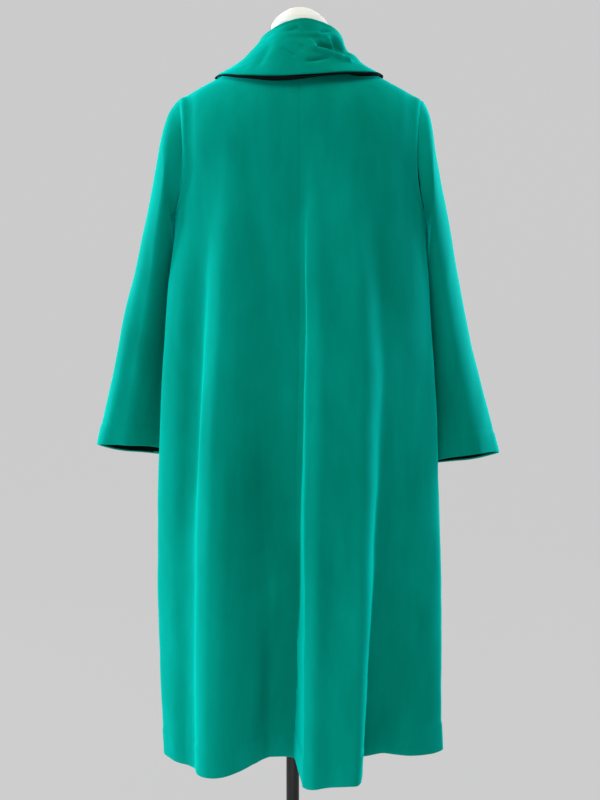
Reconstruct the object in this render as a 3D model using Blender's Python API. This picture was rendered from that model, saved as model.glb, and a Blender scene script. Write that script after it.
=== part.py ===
# A long velvet evening coat with a draped collar, on a limbless dress form.
# +X is the wearer's left, +Y the wearer's back and +Z up. The floor is z = 0 and the pole
# stands on the Z axis. Every size is in metres and every angle in degrees.

import math

import bpy
import numpy as np

# Driving sizes
cloth = 0.0022
collar_cloth = 0.003
seam_gap = 0.0003
hem_height = 0.268
underarm_height = 1.160
neck_point = {"x": 0.078, "z": 1.421}
shoulder_point = {"x": 0.204, "z": 1.356}
# How far the coat's middle hangs from the pole, to the wearer's right, and how far the
# skirt swings back to the left below the height where that starts
coat_offset = -0.0125
skirt_sway = {"reach": 0.007, "start": 1.05, "length": 0.40}
back_neck = {"depth": 0.060, "drop": 0.008, "half_gap": 0.0, "power": 1.0}
front_neck = {"depth": 0.085, "drop": 0.060, "half_gap": 0.009, "power": 2.2}
armhole_depth = 0.075
armhole_width = 0.200
side_angle = 90.0
front_edge_angle = 3.4
# How round the horizontal sections are: 2 is an ellipse, and more is squarer
squareness = {"back": 2.5, "front": 2.15}

# Steps over which slopes are read, and the share of up in the way out of a shoulder
slope_step = {"body": 0.012, "sleeve": 0.004}
shoulder_rise = 0.15
sharp_angle = {"cloth": 50, "stand": 35}

# Counts of the grid that each panel is made on
armhole_rows = 9
skirt_rows = 14
back_columns = 20
front_columns = 16
neck_columns = {"back": 7, "front": 7}
sleeve_rings = 12
sleeve_crowding = 1.25
collar_columns = 56
collar_stand_rows = 4
collar_fall_rows = 8

# Horizontal sections of the coat's body: half width at the side seam, and depth from the
# pole's axis to the cloth at the centre back and the centre front
body_columns = ("height", "width", "back", "front")
body_sections = (
    (1.265, 0.2130, 0.126, 0.128),
    (1.160, 0.2075, 0.132, 0.144),
    (1.050, 0.2215, 0.137, 0.148),
    (0.800, 0.2325, 0.146, 0.152),
    (0.500, 0.2400, 0.150, 0.162),
    (0.268, 0.2380, 0.150, 0.170),
)

# Hanging folds, as seen at the hem: the angle round from the centre back (positive is the
# wearer's left), half the flat of the crest, the widths of its two flanks, its depth at the
# hem (negative is a hollow), the height it starts at, how fast it grows, and how far its
# line has turned at waist level
fold_columns = ("angle", "flat", "left", "right", "depth", "start", "growth", "turn")
folds = (
    (42, 3, 20, 22, 0.026, 1.30, 0.9, -4),
    (13, 4, 27, 14, -0.086, 1.30, 1.30, -9),
    (-22, 9.5, 7, 14, 0.066, 1.30, 1.25, -7),
    (-51, 6, 15, 30, -0.068, 1.22, 1.30, 6),
    (-76, 5, 14, 12, 0.024, 1.10, 1.6, 0),
    (80, 6, 16, 16, -0.012, 0.90, 1.6, 0),
    (118, 5, 20, 15, 0.030, 1.15, 1.2, 0),
    (142, 5, 14, 16, -0.040, 1.15, 1.3, 4),
    (161, 4, 13, 14, 0.026, 1.20, 1.2, 3),
    (-121, 5, 15, 20, 0.034, 1.15, 1.2, 0),
    (-145, 6, 17, 15, -0.044, 1.15, 1.3, -3),
    (-164, 4, 14, 13, 0.022, 1.20, 1.2, -3),
)

# The hollow under each armhole that the hanging sleeve lies in
arm_hollow = {"angle": 100, "flat": 6, "flank": 18, "depth": 0.026, "hem_share": 0.4,
              "onset": 0.10, "fade_start": 0.35, "fade_length": 0.50}
fold_turn_power = 0.8

# The armhole seam: how far its cloth leans out over the shoulder, and the angle round from
# the shoulder where the two pieces turn from end to end to side by side
armhole_seam = {"lean": 0.45, "lap_start": 95, "lap_length": 70}

# Sleeve sections from the armhole to the cuff: the outer and the inner line of the tube,
# the middle of its depth and half its depth
sleeve_columns = ("along", "outer_x", "outer_z", "inner_x", "inner_z", "middle_y", "half_depth")
sleeve_sections = {
    1: (
        (0.00, 0.204, 1.356, 0.2075, 1.160, 0.000, 0.075),
        (0.10, 0.2190, 1.330, 0.2150, 1.133, -0.002, 0.077),
        (0.25, 0.2385, 1.250, 0.2125, 1.078, -0.010, 0.077),
        (0.45, 0.2620, 1.143, 0.2150, 0.998, -0.021, 0.072),
        (0.70, 0.2985, 0.990, 0.2170, 0.893, -0.032, 0.066),
        (1.00, 0.3470, 0.7910, 0.2240, 0.776, -0.045, 0.056),
    ),
    -1: (
        (0.00, 0.204, 1.356, 0.2075, 1.160, 0.000, 0.075),
        (0.10, 0.2145, 1.330, 0.2150, 1.133, -0.002, 0.077),
        (0.25, 0.2300, 1.250, 0.2145, 1.078, -0.012, 0.075),
        (0.45, 0.2520, 1.143, 0.2170, 0.998, -0.026, 0.069),
        (0.70, 0.2840, 0.990, 0.2180, 0.890, -0.037, 0.063),
        (1.00, 0.3400, 0.7770, 0.2200, 0.760, -0.045, 0.056),
    ),
}
cuff_front_drop = {"depth": 0.010, "power": 6}

# Lengthwise folds of each sleeve: angle round the tube, half width, depth at the cuff
sleeve_fold = {"flat": 4, "growth": 1.5}
sleeve_fold_columns = ("angle", "width", "depth")
sleeve_folds = ((62, 34, -0.006), (118, 30, 0.005), (250, 40, 0.006), (300, 36, -0.006))

# The collar, by angle round the neck from the centre back: where it turns over at the top,
# where its free edge falls, and how far the fall bows out between them
collar_section_columns = ("angle", "fold_r", "fold_z", "edge_r", "edge_z", "bow")
collar_sections = (
    (-174, 0.086, 1.413, 0.140, 1.317, 0.006),
    (-150, 0.084, 1.418, 0.147, 1.343, 0.004),
    (-120, 0.077, 1.440, 0.144, 1.3815, 0.003),
    (-105, 0.073, 1.451, 0.138, 1.3960, -0.001),
    (-90, 0.071, 1.460, 0.134, 1.3980, -0.006),
    (-70, 0.069, 1.470, 0.130, 1.3955, -0.007),
    (-45, 0.066, 1.480, 0.121, 1.3915, -0.004),
    (-10, 0.064, 1.488, 0.114, 1.3840, 0.005),
    (20, 0.064, 1.484, 0.115, 1.3780, 0.006),
    (50, 0.066, 1.471, 0.123, 1.3870, -0.001),
    (70, 0.067, 1.463, 0.131, 1.3940, -0.004),
    (90, 0.068, 1.455, 0.137, 1.3970, -0.004),
    (105, 0.071, 1.447, 0.140, 1.3945, 0.001),
    (120, 0.076, 1.438, 0.145, 1.3805, 0.003),
    (150, 0.084, 1.421, 0.147, 1.343, 0.004),
    (174, 0.086, 1.413, 0.140, 1.317, 0.006),
)
collar_stand_lift = 0.0020
collar_fold_radius = 0.0045
collar_fold_turns = (135, 90, 45)
collar_slope_reach = 0.05

# Draped folds on the collar's fall: angle, place down the fall, half width round the neck,
# half width down the fall, lean of the fold, height of the ridge
drape_flat = 2
drape_columns = ("angle", "down", "round", "across", "lean", "height")
collar_drapes = (
    (-62, 0.30, 46, 0.13, 0.0045, -0.0070),
    (-58, 0.50, 50, 0.11, 0.0050, 0.0055),
    (-12, 0.28, 30, 0.12, -0.004, -0.0035),
    (40, 0.42, 40, 0.16, -0.003, 0.0030),
    (130, 0.45, 40, 0.16, 0.003, 0.0040),
    (-140, 0.50, 36, 0.15, -0.003, 0.0040),
)

# The dress form's horizontal sections: height, half width, half depth, and how far back
# their middle lies
form_sections = (
    (0.760, 0.158, 0.100, 0.004),
    (0.800, 0.168, 0.107, 0.004),
    (0.860, 0.170, 0.108, 0.002),
    (0.940, 0.150, 0.097, -0.002),
    (1.020, 0.124, 0.084, -0.004),
    (1.080, 0.130, 0.090, -0.005),
    (1.160, 0.152, 0.106, -0.008),
    (1.220, 0.160, 0.109, -0.008),
    (1.280, 0.168, 0.102, -0.004),
    (1.309, 0.178, 0.088, 0.000),
    (1.344, 0.1835, 0.066, 0.000),
    (1.3663, 0.1790, 0.048, 0.000),
    (1.3794, 0.1535, 0.046, 0.000),
    (1.3920, 0.1285, 0.0445, 0.000),
    (1.4048, 0.1035, 0.043, 0.000),
    (1.4170, 0.0785, 0.041, 0.000),
    (1.4270, 0.0600, 0.045, 0.000),
    (1.4430, 0.0530, 0.048, 0.000),
    (1.4700, 0.0485, 0.048, 0.000),
    (1.4880, 0.0470, 0.0475, 0.000),
    (1.4975, 0.0405, 0.0410, 0.000),
    (1.5065, 0.0300, 0.0305, 0.000),
    (1.5130, 0.0190, 0.0195, 0.000),
    (1.5160, 0.0090, 0.0090, 0.000),
)
form_segments = 28
form_roundness = 2.2

pole = {"radius": 0.011, "socket": 0.0113, "top": 1.00, "bevel": 0.0008, "segments": 24}
socket_mouth = 0.02
base = {"radius": 0.165, "thickness": 0.008, "bevel": 0.002, "segments": 64}
pole_foot = {"radius": 0.026, "height": 0.030, "segments": 32}

# Colour, roughness and how metallic
finishes = {
    "velvet": ((0.0, 0.27, 0.18), 0.85, 0.0),
    "jersey": ((0.86, 0.85, 0.80), 0.8, 0.0),
    "black_metal": ((0.012, 0.011, 0.010), 0.4, 0.6),
}


def smooth(value):
    value = min(1.0, max(0.0, value))
    return value * value * (3 - 2 * value)


def through(table, columns, at):
    """A smooth curve through a table's rows, read at one value of its first column."""
    rows = sorted(table)
    places = [row[0] for row in rows]
    at = min(places[-1], max(places[0], at))
    k = max(0, min(len(rows) - 2, sum(place <= at for place in places) - 1))
    span = places[k + 1] - places[k]
    f = (at - places[k]) / span
    found = {}
    for c, name in enumerate(columns):
        def slope(i):
            a, b = max(0, i - 1), min(len(rows) - 1, i + 1)
            return (rows[b][c] - rows[a][c]) / (places[b] - places[a])
        h00, h10 = 2 * f**3 - 3 * f**2 + 1, f**3 - 2 * f**2 + f
        h01, h11 = -2 * f**3 + 3 * f**2, f**3 - f**2
        found[name] = (h00 * rows[k][c] + h10 * span * slope(k)
                       + h01 * rows[k + 1][c] + h11 * span * slope(k + 1))
    return found


def crest(offset, flat, left, right):
    """1 on a fold's crest, falling smoothly to 0 across its flanks."""
    flank = left if offset > 0 else right
    return smooth(1 - max(0.0, abs(offset) - flat) / flank)


def fold_depth(angle, z):
    """How far all the hanging folds move the cloth outward at one place."""
    total = 0.0
    for row in folds:
        fold = dict(zip(fold_columns, row))
        if z < fold["start"]:
            drop = (fold["start"] - z) / (fold["start"] - hem_height)
            swing = fold["turn"] * math.sin(math.pi * min(1.0, drop) ** fold_turn_power)
            offset = angle - fold["angle"] - swing
            shape = crest(offset, fold["flat"], fold["left"], fold["right"])
            total += fold["depth"] * drop ** fold["growth"] * shape
    below = underarm_height - z
    if below > 0:
        passed = smooth((below - arm_hollow["fade_start"]) / arm_hollow["fade_length"])
        fade = 1 - (1 - arm_hollow["hem_share"]) * passed
        offset = abs(angle) - arm_hollow["angle"]
        shape = crest(offset, arm_hollow["flat"], arm_hollow["flank"], arm_hollow["flank"])
        total -= arm_hollow["depth"] * smooth(below / arm_hollow["onset"]) * fade * shape
    return total


def ring_point(side, angle, z):
    """The coat's body at one angle round from the centre back and one height."""
    section = through(body_sections, body_columns, z)
    a = math.radians(angle)
    back = math.cos(a) > 0
    depth = section["back"] if back else section["front"]
    n = squareness["back"] if back else squareness["front"]
    sx, sy = math.sin(a) / section["width"], abs(math.cos(a)) / depth
    radius = (abs(sx) ** n + sy**n) ** (-1 / n)
    x, y = radius * math.sin(a), radius * math.cos(a)
    normal = np.array([(x / section["width"]) ** (n - 1) / section["width"],
                       math.copysign((abs(y) / depth) ** (n - 1) / depth, y)])
    normal /= np.linalg.norm(normal)
    out = fold_depth(side * angle, z)
    sway = skirt_sway["reach"] * smooth((skirt_sway["start"] - z) / skirt_sway["length"])
    return np.array([side * (x + out * normal[0]) + sway, y + out * normal[1]])


def neck_share(part):
    """How much of a panel's top edge is neckline; the rest is shoulder seam."""
    columns = back_columns if part == "back" else front_columns
    return neck_columns[part] / columns


def top_point(side, part, across):
    """The neckline and the shoulder seam, where a panel starts."""
    edge = neck_share(part)
    neck = back_neck if part == "back" else front_neck
    way = 1 if part == "back" else -1
    if across < edge:
        turn = math.radians(90 * across / edge)
        x = neck["half_gap"] + (neck_point["x"] - neck["half_gap"]) * math.sin(turn)
        y = way * neck["depth"] * math.cos(turn)
        z = neck_point["z"] - neck["drop"] * math.cos(turn) ** neck["power"]
    else:
        f = (across - edge) / (1 - edge)
        x = neck_point["x"] + f * (shoulder_point["x"] - neck_point["x"])
        y = 0.0
        z = neck_point["z"] + f * (shoulder_point["z"] - neck_point["z"])
    return np.array([side * x, y, z])


def panel_angle(part, across, r):
    """The angle round the body of one panel column, pulled in at the armhole."""
    phi = math.pi * min(1.0, max(0.5, r))
    edge = math.degrees(math.atan2(armhole_width, armhole_depth * math.sin(phi)))
    start = 0.0 if part == "back" else front_edge_angle
    angle = start + (side_angle - start) * across - (side_angle - edge) * across**3
    return angle if part == "back" else 180 - angle


def body_point(side, part, across, r):
    """The middle of the coat's cloth. across runs from 0 at the centre back or the front
    edge to 1 at the side seam; r is 0 at the neck and shoulder, 1 at the underarm and 2 at
    the hem."""
    if part == "back" and across < 0:
        return body_point(-side, part, -across, r)
    if across > 1:
        return body_point(side, "front" if part == "back" else "back", 2 - across, r)
    angle = panel_angle(part, across, r)
    if r > 1:
        z = underarm_height + (r - 1) * (hem_height - underarm_height)
        return np.append(ring_point(side, angle, z), z)
    top = top_point(side, part, across)
    phi = math.pi * r
    middle = (top[2] + underarm_height) / 2
    z = middle + (top[2] - middle) * math.cos(phi)
    flat = ring_point(side, angle, z)
    if r < 0.5:
        flat = top[:2] + (flat - top[:2]) * math.sin(phi)
    return np.append(flat, z)


def unit(vector):
    return vector / np.linalg.norm(vector)


def surface_normal(point_at, a, b, outward, step):
    """The outward normal of a surface, from its slopes both ways. a and b are each a place,
    and the lowest and highest place that can be read."""
    (a0, a1), (b0, b1) = [(max(v - step, low), min(v + step, high))
                          for v, low, high in ((a[0], a[1], a[2]), (b[0], b[1], b[2]))]
    normal = np.cross(point_at(a1, b[0]) - point_at(a0, b[0]),
                      point_at(a[0], b1) - point_at(a[0], b0))
    normal = unit(normal)
    return normal if normal @ outward > 0 else -normal


def armhole_directions(side, phi):
    """Which way the body's and the sleeve's cloth are thick at the armhole seam: end to end
    over the shoulder, and side by side under the arm."""
    lean = side * armhole_seam["lean"] * (1 + math.cos(phi)) / 2
    butt = unit(np.array([lean, math.sin(phi), math.cos(phi)]))
    turned = math.degrees(math.acos(math.cos(phi)))
    lap = smooth((turned - armhole_seam["lap_start"]) / armhole_seam["lap_length"])
    out = np.array([side, 0.0, 0.0])
    return unit((1 - lap) * butt + lap * out), unit((1 - lap) * butt - lap * out)


def body_normal(side, part, across, r):
    """The way the coat's cloth is thick at one place of its body."""
    if across == 1 and r <= 1:
        return armhole_directions(side, math.pi * r * (1 if part == "back" else -1))[0]
    if r == 0 and across > neck_share(part) - 1e-6:
        return unit(np.array([side * (neck_point["z"] - shoulder_point["z"]), 0.0,
                              shoulder_point["x"] - neck_point["x"]]))
    here = body_point(side, part, across, r)
    outward = np.array([here[0], here[1], shoulder_rise if r < 0.5 else 0.0])
    low = -1.0 if part == "back" else 0.0
    high = 2.0 if r - slope_step["body"] > 1 else 1.0
    return surface_normal(lambda a, b: body_point(side, part, a, b), (across, low, high),
                          (r, 0.0, 2.0), outward, slope_step["body"])


def panel_rows():
    return ([j / armhole_rows for j in range(armhole_rows + 1)]
            + [1 + (j + 1) / skirt_rows for j in range(skirt_rows)])


def pull_apart(points, edge, inward, gap):
    """Moves a grid's edge line off the seam, towards the next line of the grid."""
    for p, q in zip(edge, inward):
        points[p] = points[p] + gap * unit(points[q] - points[p])


def panel_grid(side, part):
    """Inner and outer points of one back or front panel, as rows of columns. The centre
    back, side and shoulder seams each open by half a gap."""
    columns = back_columns if part == "back" else front_columns
    rows = panel_rows()
    last = len(rows) - 1
    down, along = range(last + 1), range(columns + 1)
    grids = []
    for way in (-1, 1):
        grid = {}
        for j, r in enumerate(rows):
            for i in along:
                across = i / columns
                grid[j, i] = (body_point(side, part, across, r)
                              + way * cloth / 2 * body_normal(side, part, across, r))
        if part == "back":
            pull_apart(grid, [(j, 0) for j in down], [(j, 1) for j in down], seam_gap / 2)
        pull_apart(grid, [(j, columns) for j in down],
                   [(j, columns - 1) for j in down], seam_gap / 2)
        pull_apart(grid, [(0, i) for i in along], [(1, i) for i in along], seam_gap / 2)
        grids.append([[grid[j, i] for i in along] for j in down])
    return grids


def sleeve_point(side, along, angle):
    """The middle of a sleeve's cloth, by how far down the tube and the angle round it: 0 is
    the outer line, 90 the back, 180 the line next to the body and 270 the front."""
    section = through(sleeve_sections[side], sleeve_columns, along)
    a = math.radians(angle)
    outer = np.array([section["outer_x"], 0.0, section["outer_z"]])
    inner = np.array([section["inner_x"], 0.0, section["inner_z"]])
    point = (outer + inner) / 2 + math.cos(a) * (outer - inner) / 2
    point[1] = section["middle_y"] + section["half_depth"] * math.sin(a)
    for row in sleeve_folds:
        fold = dict(zip(sleeve_fold_columns, row))
        offset = (angle - fold["angle"] + 180) % 360 - 180
        shape = crest(offset, sleeve_fold["flat"], fold["width"], fold["width"])
        grown = along ** sleeve_fold["growth"]
        point[1] += math.copysign(fold["depth"], math.sin(a) * fold["depth"]) * grown * shape
    drop = cuff_front_drop["depth"] * along ** cuff_front_drop["power"]
    point[2] -= drop * (1 - math.sin(a)) / 2
    point[0] *= side
    return point


def sleeve_grid(side):
    """Inner and outer rings of a sleeve, from the armhole seam to the cuff."""
    count = 2 * armhole_rows
    inner_rings, outer_rings = [], []
    for k in range(sleeve_rings + 1):
        along = (k / sleeve_rings) ** sleeve_crowding
        inner, outer = [], []
        for j in range(count):
            angle = 180 * j / armhole_rows
            if k == 0:
                part = "back" if j <= armhole_rows else "front"
                here = body_point(side, part, 1.0, min(j, count - j) / armhole_rows)
                body_way, way = armhole_directions(side, math.radians(angle))
                shift = seam_gap + cloth / 2 * side * (body_way[0] - way[0])
                here = here + np.array([side * shift, 0.0, 0.0])
            else:
                here = sleeve_point(side, along, angle)
                axis = (sleeve_point(side, along, 0) + sleeve_point(side, along, 180)) / 2
                way = surface_normal(lambda a, b: sleeve_point(side, a, b * 360),
                                     (along, 0.0, 1.0), (angle / 360, -1.0, 2.0), here - axis,
                                     slope_step["sleeve"])
            inner.append(here - cloth / 2 * way)
            outer.append(here + cloth / 2 * way)
        inner_rings.append(inner)
        outer_rings.append(outer)
    return inner_rings, outer_rings


def neckline_foot(s):
    """A place on the neckline, as the panels' straight edges make it. s runs from -2 at the
    right front edge, through 0 at the centre back, to 2 at the left front edge."""
    side = 1 if s >= 0 else -1
    part = "back" if abs(s) <= 1 else "front"
    share = abs(s) if part == "back" else 2 - abs(s)
    step = share * neck_columns[part]
    low = min(int(step), neck_columns[part] - 1)
    edge = neck_share(part) / neck_columns[part]
    return ((low + 1 - step) * top_point(side, part, low * edge)
            + (step - low) * top_point(side, part, (low + 1) * edge))


def collar_path(s):
    """The collar's section at one place of the neckline: up the stand, over the fold and
    down the fall, each point with the way the cloth is thick there."""
    foot = neckline_foot(s)
    a = math.atan2(foot[0], foot[1])
    angle = math.degrees(a)
    section = through(collar_sections, collar_section_columns, angle)
    out = np.array([math.sin(a), math.cos(a), 0.0])
    # A steep neckline needs more height for the same clearance
    along = (neckline_foot(min(2.0, s + collar_slope_reach))
             - neckline_foot(max(-2.0, s - collar_slope_reach)))
    steep = math.hypot(1, along[2] / math.hypot(along[0], along[1]))
    foot_r, foot_z = math.hypot(foot[0], foot[1]), foot[2] + collar_stand_lift * steep
    up = np.array([0.0, 0.0, 1.0])
    fold_r, fold_z = section["fold_r"] - collar_fold_radius, section["fold_z"] - collar_fold_radius
    path = []
    for k in range(collar_stand_rows + 1):
        f = k / collar_stand_rows
        path.append((foot_r + (fold_r - collar_fold_radius - foot_r) * smooth(f),
                     foot_z + (fold_z - foot_z) * f))
    for turn in collar_fold_turns:
        b = math.radians(turn)
        path.append((fold_r + collar_fold_radius * math.cos(b),
                     fold_z + collar_fold_radius * math.sin(b)))
    start_r, start_z = fold_r + collar_fold_radius, fold_z
    for k in range(collar_fall_rows + 1):
        f = k / collar_fall_rows
        run, drop = section["edge_r"] - start_r, section["edge_z"] - start_z
        length = math.hypot(run, drop)
        lift = section["bow"] * math.sin(math.pi * f)
        for row in collar_drapes:
            drape = dict(zip(drape_columns, row))
            lean = drape["down"] + drape["lean"] * (angle - drape["angle"])
            near = crest(angle - drape["angle"], drape_flat, drape["round"], drape["round"])
            lift += drape["height"] * near * smooth(1 - abs(f - lean) / (2 * drape["across"]))
        path.append((start_r + run * f - drop / length * lift,
                     start_z + drop * f + run / length * lift))
    points = [out * r + up * z for r, z in path]
    ways = []
    for k in range(len(path)):
        (r0, z0), (r1, z1) = path[max(0, k - 1)], path[min(len(path) - 1, k + 1)]
        run, drop = r1 - r0, z1 - z0
        length = math.hypot(run, drop)
        ways.append(out * (-drop / length) + up * (run / length))
    return points, ways


def collar_grid():
    inner, outer = [], []
    for i in range(collar_columns + 1):
        points, ways = collar_path(4 * i / collar_columns - 2)
        inner.append([p - collar_cloth / 2 * w for p, w in zip(points, ways)])
        outer.append([p + collar_cloth / 2 * w for p, w in zip(points, ways)])
    return inner, outer


def finish_of(piece_name, finish):
    """A material of the piece's own in one of the finishes."""
    colour, roughness, metallic = finishes[finish]
    material = bpy.data.materials.new(f"{piece_name}_{finish}")
    material.use_nodes = True
    shader = material.node_tree.nodes["Principled BSDF"]
    shader.inputs["Base Color"].default_value = (*colour, 1)
    shader.inputs["Roughness"].default_value = roughness
    shader.inputs["Metallic"].default_value = metallic
    return material


def add_mesh(name, vertices, faces, finish):
    mesh = bpy.data.meshes.new(name)
    mesh.from_pydata([(v[0] + coat_offset, v[1], v[2]) for v in vertices], [], faces)
    mesh.validate()
    mesh.shade_smooth()
    mesh.set_sharp_from_angle(angle=math.radians(sharp_angle["cloth"]))
    mesh.materials.append(finish_of(name, finish))
    piece = bpy.data.objects.new(name, mesh)
    bpy.context.scene.collection.objects.link(piece)
    return piece


def outward(vertices, faces):
    """Turns every face round if the shape as a whole is inside out."""
    volume = 0.0
    for face in faces:
        a = vertices[face[0]]
        for k in range(1, len(face) - 1):
            volume += np.dot(a, np.cross(vertices[face[k]], vertices[face[k + 1]]))
    return faces if volume > 0 else [(face[0], *reversed(face[1:])) for face in faces]


def add_wall(name, inner, outer, finish, closed=False):
    """A wall of cloth between two grids of points, closed at its edges. A closed wall goes
    right round, as a sleeve does."""
    rows, columns = len(inner), len(inner[0])
    vertices = [p for row in inner for p in row] + [p for row in outer for p in row]
    shift = rows * columns
    faces = []
    around = columns if closed else columns - 1
    for j in range(rows - 1):
        for i in range(around):
            a, b = j * columns + i, j * columns + (i + 1) % columns
            c, d = b + columns, a + columns
            faces.append((a, d, c, b))
            faces.append((a + shift, b + shift, c + shift, d + shift))
    for j, flip in ((0, False), (rows - 1, True)):
        for i in range(around):
            a, b = j * columns + i, j * columns + (i + 1) % columns
            face = (a, b, b + shift, a + shift)
            faces.append((face[0], *reversed(face[1:])) if flip else face)
    if not closed:
        for i, flip in ((0, True), (columns - 1, False)):
            for j in range(rows - 1):
                a, b = j * columns + i, (j + 1) * columns + i
                face = (a, b, b + shift, a + shift)
                faces.append((face[0], *reversed(face[1:])) if flip else face)
    return add_mesh(name, vertices, outward(vertices, faces), finish)


def add_form():
    """The torso and neck: rings closed by a fan at each end, with a socket for the pole."""
    rings = []
    for height, width, depth, middle in form_sections:
        ring = []
        for k in range(form_segments):
            a = 2 * math.pi * k / form_segments
            c, s = math.cos(a), math.sin(a)
            power = 2 / form_roundness
            ring.append(np.array([width * math.copysign(abs(c) ** power, c),
                                  middle + depth * math.copysign(abs(s) ** power, s), height]))
        rings.append(ring)
    vertices = [p for ring in rings for p in ring]
    faces = []
    for j in range(len(rings) - 1):
        for k in range(form_segments):
            a, b = j * form_segments + k, j * form_segments + (k + 1) % form_segments
            faces.append((a, b, b + form_segments, a + form_segments))
    faces.append(tuple(range(form_segments - 1, -1, -1)))
    top = (len(rings) - 1) * form_segments
    faces.append(tuple(range(top, top + form_segments)))
    form = add_mesh("form_torso", vertices, outward(vertices, faces), "jersey")
    depth = pole["top"] - form_sections[0][0] + socket_mouth
    bpy.ops.mesh.primitive_cylinder_add(
        vertices=pole["segments"], radius=pole["socket"], depth=depth,
        location=(0, 0, pole["top"] + seam_gap - depth / 2))
    cutter = bpy.context.object
    cutter.name = "socket_cutter"
    cutter.hide_render = True
    cutter.display_type = "WIRE"
    cut = form.modifiers.new("socket", "BOOLEAN")
    cut.operation = "DIFFERENCE"
    cut.solver = "EXACT"
    cut.object = cutter
    return form


def add_stand():
    """The pole, the flat round base and the flange that holds the pole on it."""
    bpy.ops.mesh.primitive_cylinder_add(vertices=base["segments"], radius=base["radius"],
                                        depth=base["thickness"],
                                        location=(0, 0, base["thickness"] / 2))
    plate = bpy.context.object
    plate.name = "base_plate"
    bpy.ops.mesh.primitive_cylinder_add(
        vertices=pole_foot["segments"], radius=pole_foot["radius"],
        depth=pole_foot["height"] - seam_gap,
        location=(0, 0, base["thickness"] + (pole_foot["height"] + seam_gap) / 2))
    flange = bpy.context.object
    flange.name = "pole_flange"
    low = base["thickness"] + pole_foot["height"] + seam_gap
    bpy.ops.mesh.primitive_cylinder_add(vertices=pole["segments"], radius=pole["radius"],
                                        depth=pole["top"] - low,
                                        location=(0, 0, (pole["top"] + low) / 2))
    rod = bpy.context.object
    rod.name = "pole"
    for piece in (plate, flange, rod):
        edge = piece.modifiers.new("edge", "BEVEL")
        edge.width = pole["bevel"] if piece is rod else base["bevel"]
        edge.segments = 2
        edge.limit_method = "ANGLE"
        piece.data.materials.append(finish_of(piece.name, "black_metal"))
        piece.data.shade_smooth()
        piece.data.set_sharp_from_angle(angle=math.radians(sharp_angle["stand"]))


def main():
    for leftover in list(bpy.data.objects):
        bpy.data.objects.remove(leftover)
    for side, word in ((1, "left"), (-1, "right")):
        for part in ("back", "front"):
            inner, outer = panel_grid(side, part)
            add_wall(f"{part}_{word}", inner, outer, "velvet")
        inner, outer = sleeve_grid(side)
        add_wall(f"sleeve_{word}", inner, outer, "velvet", closed=True)
    inner, outer = collar_grid()
    add_wall("collar", inner, outer, "velvet")
    add_form()
    add_stand()


main()
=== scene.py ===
import math

import bpy
import numpy as np
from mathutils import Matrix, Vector


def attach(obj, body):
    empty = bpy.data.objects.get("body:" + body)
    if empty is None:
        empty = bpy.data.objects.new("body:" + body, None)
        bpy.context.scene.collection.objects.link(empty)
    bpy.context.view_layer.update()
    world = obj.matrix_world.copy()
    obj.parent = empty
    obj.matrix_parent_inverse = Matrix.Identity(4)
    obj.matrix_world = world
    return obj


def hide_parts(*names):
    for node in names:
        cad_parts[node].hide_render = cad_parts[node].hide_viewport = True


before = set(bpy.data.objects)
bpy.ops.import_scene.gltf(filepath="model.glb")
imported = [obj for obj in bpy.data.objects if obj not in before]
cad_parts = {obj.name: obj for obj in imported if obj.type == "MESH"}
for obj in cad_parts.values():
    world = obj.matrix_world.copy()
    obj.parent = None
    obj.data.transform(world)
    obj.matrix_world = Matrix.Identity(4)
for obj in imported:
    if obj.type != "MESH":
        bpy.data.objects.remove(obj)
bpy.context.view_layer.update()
print("frame loaded,", len(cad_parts), "nodes")

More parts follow.
